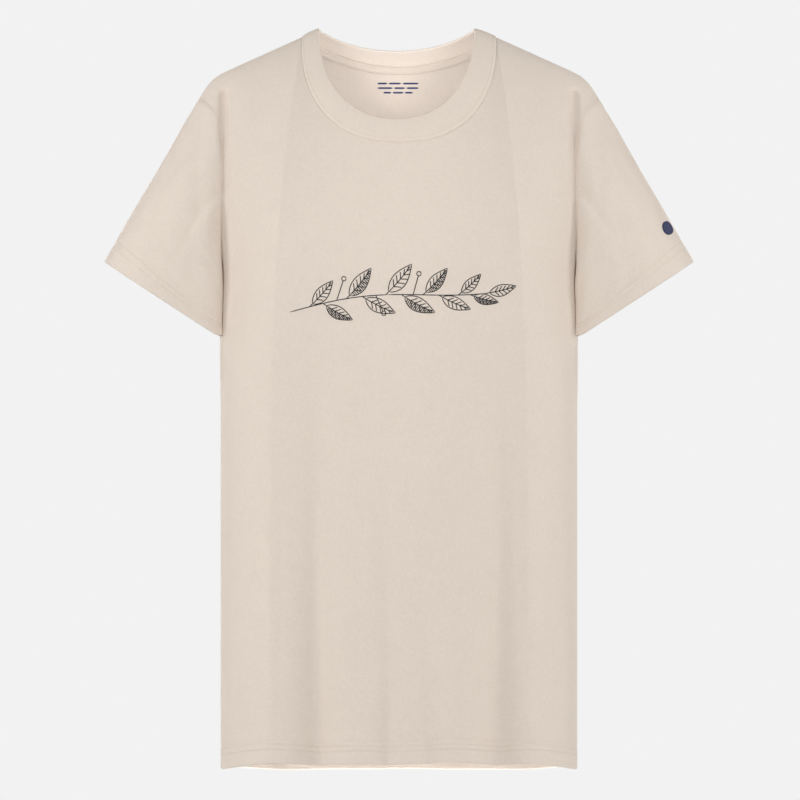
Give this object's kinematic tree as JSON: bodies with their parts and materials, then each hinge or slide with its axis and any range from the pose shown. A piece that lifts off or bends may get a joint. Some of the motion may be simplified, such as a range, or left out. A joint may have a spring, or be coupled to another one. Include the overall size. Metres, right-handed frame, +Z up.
{
  "type": "t-shirt",
  "caption": "Short-sleeved crew-neck T-shirt in sand jersey, shown filled as worn, with ribbed neckband, turned-up hems and a small sleeve patch.",
  "frame": {"origin": "midway between the two points where the neck seam crosses the shoulder line, where the wearer's shoulders hold the shirt up", "axes": "+Z up along the shirt's length, -Y out of the chest, +X towards the wearer's left sleeve"},
  "size_m": [0.5866, 0.235, 0.7476],
  "materials": {
    "jersey": "fine cotton jersey, sand, matt with a light nap",
    "rib": "cotton one-by-one rib, sand, matt",
    "tape": "folded strip of sand jersey, stitched along both edges",
    "patch": "navy satin-stitch embroidery"
  },
  "bodies": {
    "root": {"front_panel": "jersey", "back_panel": "jersey", "front_hem_fold": "jersey", "back_hem_fold": "jersey", "left_sleeve": "jersey", "right_sleeve": "jersey", "left_sleeve_hem_fold": "jersey", "right_sleeve_hem_fold": "jersey", "neckband": "rib", "neck_tape": "tape", "sleeve_patch": "patch"}
  },
  "joints": []
}
